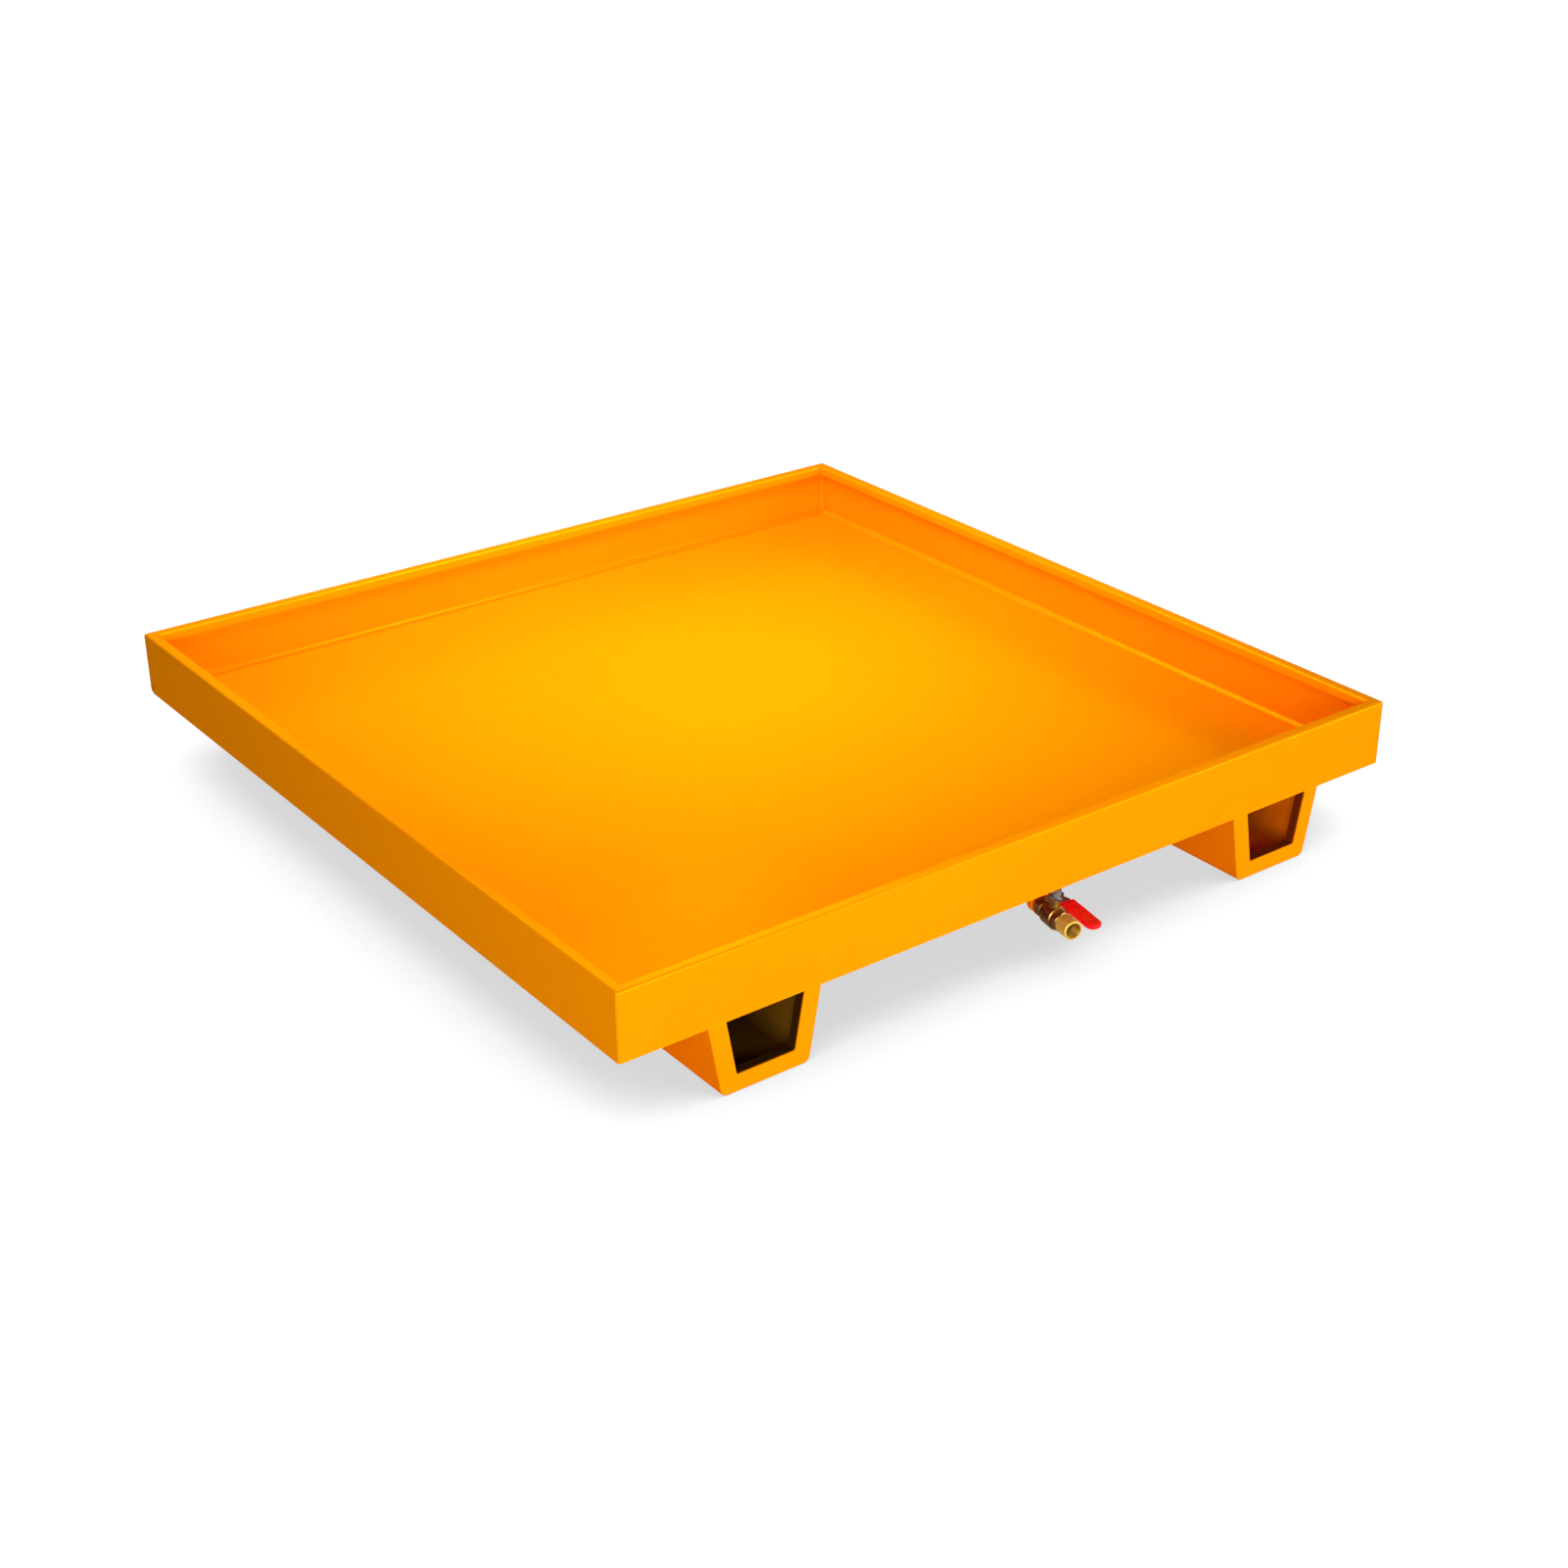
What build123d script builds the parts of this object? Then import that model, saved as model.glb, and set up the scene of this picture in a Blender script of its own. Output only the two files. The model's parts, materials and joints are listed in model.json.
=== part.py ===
"""Welded steel spill tray on two hollow feet, drained by a half-inch brass ball valve.

Millimetres. +Z is up, -Y is the front, where the valve sticks out, and +X is to the right.
Shapes are drawn with the tray's centre at x = y = 0 and the ground at z = 0, then moved
along Y so that the row origin is the bottom centre of the whole object, lever included.
"""
from build123d import *
from math import atan2, cos, hypot, radians, sin, sqrt
import os

# Tray
tray_side = 1250.0
tray_height = 92.0
sheet = 3.0
rim_width = 17.0
lip_drop = 13.0
rim_fold_radius = 3.5
rear_fold_radius = 15.0
upright_corner_radius = 4.0
rim_relief_radius = 1.5
mitre_reach = 40.0

# Feet
foot_height = 100.0
foot_top_width = 162.0
foot_bottom_width = 126.0
foot_centre_x = 424.0
foot_corner_radius = 10.0
frame_side_border = 25.0
frame_bottom_border = 24.0
frame_lip_depth = 15.0
frame_edge_radius = 2.5
opening_corner_radius = 3.0

# Welds
seam_weld_leg = 7.0
stitch_weld_leg = 5.0
stitch_weld_length = 50.0
stitch_weld_pitch = 270.0
stitch_welds_per_side = 5
socket_weld_leg = 5.0

# Drain line: heights are above the flow axis, distances run along it, outlet side positive
flow_axis_height = 44.0
stem_x = 51.0
stem_inset = 26.0
valve_yaw = 11.5
pipe_bore_radius = 7.0
female_thread_radius = 9.3
male_thread_radius = 9.25
elbow_axis_at = -63.0
elbow_bend_radius = 14.0
elbow_end_at = -35.0
elbow_body_radius = 12.0
elbow_band_radius = 14.5
elbow_band_length = 10.0
elbow_band_slope = 2.0
elbow_shoulder_height = 29.0
elbow_male_top = 46.0
socket_radius = 15.0
socket_bottom = 32.0
drain_hole_radius = 10.0
thread_depth = 12.0
thread_runout = 1.0
edge_break = 1.0
hex_chamfer = 1.2
small_hex_chamfer = 0.8
hex_face_ratio = 0.97

# Ball valve
body_inlet_at = -29.0
body_hex_length = 12.0
body_waist_length = 2.0
body_shoulder_length = 4.0
body_split_at = 11.0
body_outlet_at = 22.0
valve_hex_across_flats = 26.0
chamber_outer_radius = 16.5
chamber_radius = 11.6
cap_thread_radius = 13.5
cap_thread_start = 5.4
cap_spigot_gap = 0.3
ball_radius = 10.5
ball_bore_radius = 6.25
seat_depth = 11.5
seat_thickness = 4.5
seat_bore_radius = 6.5
seat_clearance = 0.1
neck_radius = 9.0
neck_top = 24.0
nipple_across_flats = 22.0
nipple_gap = 0.3
extension_radius = 13.0
extension_end_at = 44.6
extension_thread_start = 14.0
mouth_thread_length = 14.0
mouth_chamfer = 1.0

# Stem and lever
stem_radius = 4.0
running_clearance = 0.05
thread_gap = 0.05
stem_collar_radius = 5.0
collar_clearance = 0.3
stem_collar_bottom = 11.2
stem_collar_top = 12.9
thrust_washer_bottom = 13.0
thrust_washer_top = 14.0
packing_bottom = 18.0
packing_top = 21.0
packing_radius = 6.45
gland_hex_across_flats = 17.0
gland_top = 28.0
tang_width = 2.9
tang_length = 8.0
tang_gap = 0.2
slot_width = 3.0
slot_bottom = 8.0
stem_top = 39.0
lever_bottom = 28.5
lever_thickness = 2.5
lever_rise = 2.5
lever_eye_radius = 10.0
lever_width = 13.0
lever_crank_start = 12.0
lever_crank_end = 20.0
lever_reach = 97.0
lever_plate_reach = 93.0
grip_start = 27.0
grip_width = 19.0
grip_thickness = 6.0
grip_edge_radius = 2.4
stem_flat_width = 6.0
stop_tab_radius = 13.5
stop_tab_thickness = 2.5
stop_tab_width = 5.0
stop_tab_bottom = 21.0
stop_lug_inner_radius = 8.0
stop_lug_bottom = 16.0
stop_lug_sweep = 20.0
stop_face_angle = 14.5
lever_washer_radius = 6.5
lever_washer_thickness = 1.0
lever_nut_across_flats = 13.0
lever_nut_height = 6.5

# Worked out from the above
half_side = tray_side / 2
inner_half = half_side - sheet
tray_bottom = foot_height
tray_top = foot_height + tray_height
floor_top = tray_bottom + sheet
underside_height = tray_bottom - flow_axis_height
stem_y = -half_side + stem_inset
drain_x = stem_x - elbow_axis_at * sin(radians(valve_yaw))
drain_y = stem_y - elbow_axis_at * cos(radians(valve_yaw))
grip_end_radius = grip_width / 2
grip_end_centre = lever_reach - grip_end_radius
front_overhang = grip_end_centre * cos(radians(valve_yaw)) + grip_end_radius - stem_inset
row_place = Pos(0, front_overhang / 2, 0)
valve_place = Location((stem_x, stem_y, flow_axis_height), (0, 0, -90 - valve_yaw))
foot_slope = (foot_top_width - foot_bottom_width) / 2 / foot_height
foot_wall_across = sheet * hypot(1, foot_slope)
rear_foot_end = half_side - rear_fold_radius


# ---------------------------------------------------------------- drawing helpers

def outline_face(corners):
    """Face through (x, y, radius) corners, with each corner rounded to its own radius."""
    face = make_face(Polyline(*[(x, y) for x, y, _ in corners], close=True))
    for x, y, radius in corners:
        if radius:
            corner = face.vertices().sort_by_distance((x, y, 0))[0]
            face = fillet(corner, radius)
    return face


def plan_prism(corners, bottom, top):
    """Upright prism over a polygon in plan."""
    face = make_face(Polyline(*corners, close=True))
    return Pos(0, 0, bottom) * extrude(face, top - bottom)


def along_x(face, start, end):
    """Prism from a face drawn in (y, z), from x = start to x = end."""
    return Pos(start, 0, 0) * extrude(Plane.YZ * face, end - start)


def along_y(face, start, end):
    """Prism from a face drawn in (x, z), from y = start to y = end."""
    return Pos(0, end, 0) * extrude(Plane.XZ * face, end - start)


def turned_on_flow(points):
    """Solid turned about the flow axis, from (distance, radius) points."""
    return revolve(Plane.XZ * make_face(Polyline(*points, close=True)), Axis.X)


def turned_on_stem(points):
    """Solid turned about the stem axis, from (radius, height) points."""
    return revolve(Plane.XZ * make_face(Polyline(*points, close=True)), Axis.Z)


def stem_ring(bottom, top, radius, bore):
    """Plain ring about the stem axis."""
    return turned_on_stem([(bore, bottom), (radius, bottom), (radius, top), (bore, top)])


def flow_cylinder(start, end, radius):
    """Plain cylinder along the flow axis."""
    return turned_on_flow([(start, 0), (end, 0), (end, radius), (start, radius)])


def stem_cylinder(bottom, top, radius):
    """Plain cylinder about the stem axis."""
    return turned_on_stem([(0, bottom), (radius, bottom), (radius, top), (0, top)])


def hex_face(across_flats):
    """Hexagon with one flat facing up."""
    return RegularPolygon(across_flats / 2, 6, major_radius=False, rotation=30)


def chamfered_flow_hex(start, end, across_flats, chamfer_depth=hex_chamfer):
    """Hexagon bar along the flow axis, with its corners turned off at both ends."""
    bar = along_x(hex_face(across_flats), start, end)
    corner_radius = across_flats / 2 / cos(radians(30))
    face_radius = across_flats / 2 * hex_face_ratio
    turning = turned_on_flow([
        (start, 0),
        (start, face_radius),
        (start + chamfer_depth, corner_radius),
        (end - chamfer_depth, corner_radius),
        (end, face_radius),
        (end, 0),
    ])
    return bar & turning


def chamfered_stem_hex(bottom, top, across_flats, chamfer_depth=small_hex_chamfer):
    """Hexagon nut about the stem axis, with its top corners turned off."""
    bar = Pos(0, 0, bottom) * extrude(hex_face(across_flats), top - bottom)
    corner_radius = across_flats / 2 / cos(radians(30))
    turning = turned_on_stem([
        (0, bottom),
        (corner_radius, bottom),
        (corner_radius, top - chamfer_depth),
        (across_flats / 2 * hex_face_ratio, top),
        (0, top),
    ])
    return bar & turning


# ---------------------------------------------------------------- tray

def tray_envelope():
    """Outer block of the tray, with rounded upright corners and a rounded top edge."""
    block = extrude(RectangleRounded(tray_side, tray_side, upright_corner_radius), tray_height)
    top_edges = block.faces().sort_by(Axis.Z)[-1].edges()
    return Pos(0, 0, tray_bottom) * fillet(top_edges, rim_fold_radius)


def rim_reliefs():
    """Round notches where two down-turned lips meet at each inner rim corner."""
    reach = half_side - rim_width + rim_relief_radius / 2
    relief = Cylinder(rim_relief_radius, lip_drop * 3)
    return [Pos(x, y, tray_top) * relief for x in (-reach, reach) for y in (-reach, reach)]


def wall_face():
    """Wall section: x runs inward from the outer face, and y runs up."""
    lip_bottom = tray_top - lip_drop
    flange_bottom = tray_top - sheet
    inner_radius = rim_fold_radius - sheet
    return outline_face([
        (0, tray_bottom, 0),
        (0, tray_top, 0),
        (rim_width, tray_top, rim_fold_radius),
        (rim_width, lip_bottom, 0),
        (rim_width - sheet, lip_bottom, 0),
        (rim_width - sheet, flange_bottom, inner_radius),
        (sheet, flange_bottom, inner_radius),
        (sheet, tray_bottom, 0),
    ])


def make_front_plate():
    """Flat front wall over the full width, with its rim mitred at both ends."""
    wall = Pos(0, -half_side, 0) * along_x(wall_face(), -half_side, half_side)
    far = inner_half - mitre_reach
    region = plan_prism([
        (-half_side, -half_side),
        (half_side, -half_side),
        (half_side, -inner_half),
        (inner_half, -inner_half),
        (far, -far),
        (-far, -far),
        (-inner_half, -inner_half),
        (-half_side, -inner_half),
    ], tray_bottom, tray_top)
    return (wall & region & tray_envelope()) - rim_reliefs()


def make_left_side_plate():
    """Flat side wall whose lower rear corner follows the main sheet's fold."""
    wall = Pos(-half_side, 0, 0) * along_y(wall_face(), -half_side, half_side)
    far = inner_half - mitre_reach
    region = plan_prism([
        (-half_side, -inner_half),
        (-inner_half, -inner_half),
        (-far, -far),
        (-far, far),
        (-inner_half, inner_half),
        (-inner_half, half_side),
        (-half_side, half_side),
    ], tray_bottom, tray_top)
    profile = along_x(outline_face([
        (-half_side, tray_bottom, 0),
        (half_side, tray_bottom, rear_fold_radius),
        (half_side, tray_top, 0),
        (-half_side, tray_top, 0),
    ]), -half_side, 0)
    return (wall & region & profile & tray_envelope()) - rim_reliefs()


def make_floor_sheet():
    """Main sheet: the floor, folded up at the rear into the rear wall and its rim."""
    lip_bottom = tray_top - lip_drop
    flange_bottom = tray_top - sheet
    inner_radius = rim_fold_radius - sheet
    rim_inner = half_side - rim_width
    section = outline_face([
        (-inner_half, tray_bottom, 0),
        (half_side, tray_bottom, rear_fold_radius),
        (half_side, tray_top, 0),
        (rim_inner, tray_top, rim_fold_radius),
        (rim_inner, lip_bottom, 0),
        (rim_inner + sheet, lip_bottom, 0),
        (rim_inner + sheet, flange_bottom, inner_radius),
        (inner_half, flange_bottom, inner_radius),
        (inner_half, floor_top, rear_fold_radius - sheet),
        (-inner_half, floor_top, 0),
    ])
    far = inner_half - mitre_reach
    left_mitre = plan_prism([(-inner_half, inner_half), (-inner_half, far), (-far, far)],
                            floor_top + mitre_reach, tray_top)
    sheet_body = along_x(section, -inner_half, inner_half)
    sheet_body -= left_mitre
    sheet_body -= mirror(left_mitre, Plane.YZ)
    sheet_body -= Pos(drain_x, drain_y, floor_top) * Cylinder(drain_hole_radius, sheet * 4)
    return (sheet_body & tray_envelope()) - rim_reliefs()


def make_front_seam_weld():
    """Inside fillet bead of the front plate: along the floor and up both corners."""
    leg = seam_weld_leg
    floor_run = along_x(make_face(Polyline(
        (-inner_half, floor_top), (-inner_half + leg, floor_top), (-inner_half, floor_top + leg),
        close=True)), -inner_half, inner_half)
    corner = plan_prism([
        (-inner_half, -inner_half), (-inner_half + leg, -inner_half), (-inner_half, -inner_half + leg),
    ], floor_top, tray_top - rim_fold_radius)
    return floor_run + corner + mirror(corner, Plane.YZ)


def make_left_seam_weld(front_seam_weld):
    """Inside fillet bead of the left plate: along the floor, round the fold, up the rear."""
    leg = seam_weld_leg
    inside_radius = rear_fold_radius - sheet
    fold_y = half_side - rear_fold_radius
    fold_z = tray_bottom + rear_fold_radius
    floor_run = along_y(make_face(Polyline(
        (-inner_half, floor_top), (-inner_half + leg, floor_top), (-inner_half, floor_top + leg),
        close=True)), -inner_half, fold_y)
    fold_section = Plane.XZ.offset(-fold_y) * make_face(Polyline(
        (-inner_half, fold_z - inside_radius),
        (-inner_half + leg, fold_z - inside_radius),
        (-inner_half, fold_z - inside_radius + leg),
        close=True))
    fold_run = revolve(fold_section, Axis((0, fold_y, fold_z), (1, 0, 0)), 90)
    upright_run = plan_prism([
        (-inner_half, inner_half), (-inner_half + leg, inner_half), (-inner_half, inner_half - leg),
    ], fold_z, tray_top - rim_fold_radius)
    return floor_run + fold_run + upright_run - front_seam_weld


# ---------------------------------------------------------------- feet

def foot_half_width(height):
    """Outer half width of a foot at a height above the ground."""
    return foot_bottom_width / 2 + foot_slope * height


def foot_trapezoid(inset, bottom, radius):
    """Foot-shaped outline in (x, z), moved in by inset at the sides, closed at the tray."""
    top_half = foot_half_width(foot_height) - inset
    low_half = foot_half_width(bottom) - inset
    return outline_face([
        (-top_half, foot_height, 0),
        (-low_half, bottom, radius),
        (low_half, bottom, radius),
        (top_half, foot_height, 0),
    ])


def make_foot_channel():
    """Folded channel that runs from the front end frame to the rear one."""
    section = foot_trapezoid(0, 0, foot_corner_radius)
    section -= foot_trapezoid(foot_wall_across, sheet, foot_corner_radius - sheet)
    return along_y(section, -half_side + sheet, rear_foot_end - sheet)


def make_foot_frame():
    """Front end frame: a face plate with a return lip round the opening."""
    front = -half_side
    plate = along_y(foot_trapezoid(0, 0, foot_corner_radius), front, front + sheet)
    outer_edges = plate.faces().sort_by(Axis.Y)[0].edges().sort_by(Axis.Z)[:-1]
    plate = fillet(outer_edges, frame_edge_radius)
    lip = along_y(
        foot_trapezoid(frame_side_border - foot_wall_across, frame_bottom_border - sheet,
                       opening_corner_radius + sheet),
        front, front + frame_lip_depth)
    opening = along_y(
        foot_trapezoid(frame_side_border, frame_bottom_border, opening_corner_radius),
        front - sheet, front + frame_lip_depth + sheet)
    return plate + lip - opening


def make_foot_stitch_welds():
    """Short beads that join both channel walls to the underside of the tray."""
    low = foot_height - stitch_weld_leg
    section = make_face(Polyline(
        (foot_half_width(foot_height), foot_height),
        (foot_half_width(foot_height) + stitch_weld_leg, foot_height),
        (foot_half_width(low), low),
        close=True))
    first = -stitch_weld_pitch * (stitch_welds_per_side - 1) / 2
    beads = []
    for index in range(stitch_welds_per_side):
        start = first + index * stitch_weld_pitch - stitch_weld_length / 2
        bead = along_y(section, start, start + stitch_weld_length)
        beads += [bead, mirror(bead, Plane.YZ)]
    return Compound(beads)


# ---------------------------------------------------------------- drain line

def make_drain_socket():
    """Weld-on half coupling under the drain hole."""
    return Pos(elbow_axis_at, 0, 0) * stem_ring(
        socket_bottom, underside_height, socket_radius, female_thread_radius)


def make_drain_socket_weld():
    """Fillet ring between the socket and the tray's underside."""
    return Pos(elbow_axis_at, 0, 0) * turned_on_stem([
        (socket_radius, underside_height - socket_weld_leg),
        (socket_radius + socket_weld_leg, underside_height),
        (socket_radius, underside_height),
    ])


def elbow_run(radius, top, end):
    """Rod that comes down the drain axis, bends through a quarter turn and runs outward."""
    bend = elbow_bend_radius
    down = Pos(elbow_axis_at, 0, 0) * stem_cylinder(bend, top, radius)
    quarter = revolve(
        Pos(elbow_axis_at, 0, bend) * Circle(radius),
        Axis((elbow_axis_at + bend, 0, bend), (0, -1, 0)), 90)
    outward = flow_cylinder(elbow_axis_at + bend, end, radius)
    return down + quarter + outward


def make_drain_elbow():
    """Street elbow: its male end screws up into the socket, its banded end takes the nipple."""
    band_foot = elbow_end_at - elbow_band_length - elbow_band_slope
    outside = elbow_run(elbow_body_radius, elbow_shoulder_height, elbow_end_at)
    outside += Pos(elbow_axis_at, 0, 0) * stem_cylinder(
        elbow_shoulder_height, elbow_male_top, male_thread_radius)
    outside += turned_on_flow([
        (band_foot, 0),
        (band_foot, elbow_body_radius),
        (band_foot + elbow_band_slope, elbow_band_radius),
        (elbow_end_at - edge_break, elbow_band_radius),
        (elbow_end_at, elbow_band_radius - edge_break),
        (elbow_end_at, 0),
    ])
    outside -= elbow_run(pipe_bore_radius, elbow_male_top, elbow_end_at)
    return outside - flow_cylinder(elbow_end_at - thread_depth, elbow_end_at, female_thread_radius)


def make_valve_nipple():
    """Hexagon nipple between the elbow and the valve."""
    reach = thread_depth - thread_runout
    nipple = flow_cylinder(elbow_end_at - reach, body_inlet_at + reach, male_thread_radius)
    nipple += chamfered_flow_hex(
        elbow_end_at + nipple_gap, body_inlet_at - nipple_gap, nipple_across_flats, small_hex_chamfer)
    return nipple - flow_cylinder(
        elbow_end_at - thread_depth, body_inlet_at + thread_depth, pipe_bore_radius)


def stop_lug(centre_angle):
    """Cast lug on the valve's neck that the lever's tab comes up against."""
    ring = stem_ring(stop_lug_bottom, neck_top, stop_tab_radius, stop_lug_inner_radius)
    half_sweep = radians(stop_lug_sweep / 2)
    reach = stop_tab_radius * 2
    wedge = plan_prism([
        (0, 0),
        (reach * cos(half_sweep), -reach * sin(half_sweep)),
        (reach * cos(half_sweep), reach * sin(half_sweep)),
    ], stop_lug_bottom, neck_top)
    return Rot(0, 0, centre_angle) * (ring & wedge)


def make_valve_body():
    """Forged body: hexagon inlet, round ball chamber, and the neck that holds the stem."""
    hex_end = body_inlet_at + body_hex_length
    waist_radius = valve_hex_across_flats / 2 - edge_break
    outside = chamfered_flow_hex(body_inlet_at, hex_end, valve_hex_across_flats)
    outside += turned_on_flow([
        (hex_end - edge_break, 0),
        (hex_end - edge_break, waist_radius),
        (hex_end + body_waist_length, waist_radius),
        (hex_end + body_waist_length + body_shoulder_length, chamber_outer_radius),
        (body_split_at - edge_break, chamber_outer_radius),
        (body_split_at, chamber_outer_radius - edge_break),
        (body_split_at, 0),
    ])
    outside += stem_cylinder(0, neck_top, neck_radius)
    outside += stop_lug(180 + stop_face_angle + stop_lug_sweep / 2)
    outside += stop_lug(90 - stop_face_angle - stop_lug_sweep / 2)
    inside = flow_cylinder(body_inlet_at, body_inlet_at + thread_depth, female_thread_radius)
    inside += flow_cylinder(body_inlet_at, 0, pipe_bore_radius)
    inside += flow_cylinder(-seat_depth, body_split_at, chamber_radius)
    inside += flow_cylinder(cap_thread_start, body_split_at, cap_thread_radius)
    inside += stem_cylinder(0, thrust_washer_top, stem_collar_radius + collar_clearance)
    inside += stem_cylinder(0, neck_top, stem_radius + running_clearance)
    inside += stem_cylinder(packing_bottom, neck_top, packing_radius)
    return outside - inside


def make_valve_end_cap():
    """Outlet end: its spigot screws into the body and holds the outlet seat."""
    cap = chamfered_flow_hex(body_split_at, body_outlet_at, valve_hex_across_flats)
    cap += flow_cylinder(
        cap_thread_start + cap_spigot_gap, body_split_at, cap_thread_radius - thread_gap)
    cap -= flow_cylinder(cap_thread_start, seat_depth, chamber_radius)
    cap -= flow_cylinder(cap_thread_start, body_outlet_at, pipe_bore_radius)
    thread_end = extension_thread_start - thread_runout
    return cap - flow_cylinder(thread_end, body_outlet_at, female_thread_radius)


def make_seat_ring(side):
    """Plastic seat ring cupped to the ball, on the inlet side (-1) or the outlet side (1)."""
    near = seat_depth - seat_thickness
    outer_radius = chamber_radius - thread_gap
    cup_radius = ball_radius + seat_clearance
    bore_angle = atan2(seat_bore_radius, sqrt(cup_radius**2 - seat_bore_radius**2))
    rim_angle = atan2(sqrt(cup_radius**2 - near**2), near)
    middle_angle = (bore_angle + rim_angle) / 2
    on_cup = [
        (cup_radius * cos(angle), cup_radius * sin(angle))
        for angle in (bore_angle, middle_angle, rim_angle)
    ]
    cup = ThreePointArc(*on_cup)
    rest = Polyline(
        on_cup[2], (near, outer_radius), (seat_depth, outer_radius),
        (seat_depth, seat_bore_radius), on_cup[0])
    ring = revolve(Plane.XZ * make_face(cup.edges() + rest.edges()), Axis.X)
    return ring if side > 0 else mirror(ring, Plane.YZ)


def make_outlet_extension():
    """Smooth turned brass end piece with a female thread in its mouth."""
    mouth_edge = extension_end_at - mouth_chamfer
    piece = turned_on_flow([
        (body_outlet_at, 0),
        (body_outlet_at, extension_radius - edge_break),
        (body_outlet_at + edge_break, extension_radius),
        (mouth_edge, extension_radius),
        (extension_end_at, extension_radius - mouth_chamfer),
        (extension_end_at, 0),
    ])
    piece += flow_cylinder(extension_thread_start, body_outlet_at, male_thread_radius)
    piece -= flow_cylinder(extension_thread_start, extension_end_at, pipe_bore_radius)
    thread_start = mouth_edge - mouth_thread_length
    piece -= flow_cylinder(thread_start, mouth_edge, female_thread_radius)
    return piece - turned_on_flow([
        (mouth_edge, 0),
        (mouth_edge, female_thread_radius),
        (extension_end_at, female_thread_radius + mouth_chamfer),
        (extension_end_at, 0),
    ])


def make_gland_nut():
    """Hexagon gland that screws into the neck and squeezes the packing."""
    nut = chamfered_stem_hex(neck_top, gland_top, gland_hex_across_flats)
    nut += stem_cylinder(packing_top, neck_top, packing_radius - thread_gap)
    return nut - stem_cylinder(packing_top, gland_top, stem_radius + running_clearance)


# ---------------------------------------------------------------- lever and ball

def make_valve_ball():
    """Bored ball with a slot across its top for the stem's tang."""
    ball = Sphere(ball_radius) - flow_cylinder(-ball_radius, ball_radius, ball_bore_radius)
    slot_height = ball_radius - slot_bottom + edge_break
    slot = Box(slot_width, ball_radius * 3, slot_height)
    return ball - Pos(0, 0, slot_bottom + slot_height / 2) * slot


def make_valve_stem():
    """Stem: a tang in the ball's slot, a collar under the neck, and flats for the lever."""
    tang_bottom = slot_bottom + tang_gap
    tang_height = stem_collar_bottom - tang_bottom
    stem = Pos(0, 0, tang_bottom + tang_height / 2) * Box(tang_width, tang_length, tang_height)
    stem += stem_cylinder(stem_collar_bottom, stem_collar_top, stem_collar_radius)
    stem += stem_cylinder(stem_collar_top, stem_top, stem_radius)
    flat_depth = stem_radius - stem_flat_width / 2
    for side in (-1, 1):
        flat = Box(stem_radius * 3, flat_depth * 2, lever_thickness)
        flat_y = side * (stem_flat_width / 2 + flat_depth)
        stem -= Pos(0, flat_y, lever_bottom + lever_thickness / 2) * flat
    return stem


def lever_strip(start, end, width, bottom):
    """Flat stretch of the lever's strip."""
    strip = Box(end - start, width, lever_thickness)
    return Pos((start + end) / 2, 0, bottom + lever_thickness / 2) * strip


def make_lever_plate():
    """Pressed steel lever: an eye on the stem, a small crank, and the strip in the grip."""
    eye = stem_cylinder(lever_bottom, lever_bottom + lever_thickness, lever_eye_radius)
    raised = lever_bottom + lever_rise
    crank = along_y(make_face(Polyline(
        (lever_crank_start, lever_bottom),
        (lever_crank_end, raised),
        (lever_crank_end, raised + lever_thickness),
        (lever_crank_start, lever_bottom + lever_thickness),
        close=True)), -lever_width / 2, lever_width / 2)
    plate = eye + lever_strip(0, lever_crank_start, lever_width, lever_bottom) + crank
    plate += lever_strip(lever_crank_end, lever_plate_reach - lever_width / 2, lever_width, raised)
    plate += Pos(lever_plate_reach - lever_width / 2, 0, 0) * stem_cylinder(
        raised, raised + lever_thickness, lever_width / 2)
    plate += lever_strip(-stop_tab_radius, 0, stop_tab_width, lever_bottom)
    tab_height = lever_bottom - stop_tab_bottom
    tab = Box(stop_tab_thickness, stop_tab_width, tab_height)
    plate += Pos(-stop_tab_radius + stop_tab_thickness / 2, 0, stop_tab_bottom + tab_height / 2) * tab
    double_d = stem_cylinder(lever_bottom, lever_bottom + lever_thickness, stem_radius)
    double_d &= Pos(0, 0, lever_bottom) * Box(stem_radius * 3, stem_flat_width, lever_thickness * 3)
    return plate - double_d


def make_lever_grip(lever_plate):
    """Moulded sleeve over the outer part of the lever."""
    middle = lever_bottom + lever_rise + lever_thickness / 2
    outline = make_face(Polyline(
        (grip_start, -grip_end_radius),
        (grip_end_centre, -grip_end_radius),
        (grip_end_centre, grip_end_radius),
        (grip_start, grip_end_radius),
        close=True)) + Pos(grip_end_centre, 0) * Circle(grip_end_radius)
    sleeve = Pos(0, 0, middle - grip_thickness / 2) * extrude(outline, grip_thickness)
    top_and_bottom = sleeve.faces().filter_by(Axis.Z).edges()
    return fillet(top_and_bottom, grip_edge_radius) - lever_plate


def make_lever_washer():
    """Plain washer under the lever nut."""
    bottom = lever_bottom + lever_thickness
    return stem_ring(bottom, bottom + lever_washer_thickness, lever_washer_radius,
                     stem_radius + running_clearance)


def make_lever_nut():
    """Hexagon nut that holds the lever on the stem."""
    bottom = lever_bottom + lever_thickness + lever_washer_thickness
    nut = chamfered_stem_hex(bottom, bottom + lever_nut_height, lever_nut_across_flats)
    return nut - stem_cylinder(bottom, bottom + lever_nut_height, stem_radius + running_clearance)


# ---------------------------------------------------------------- assembly

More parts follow.
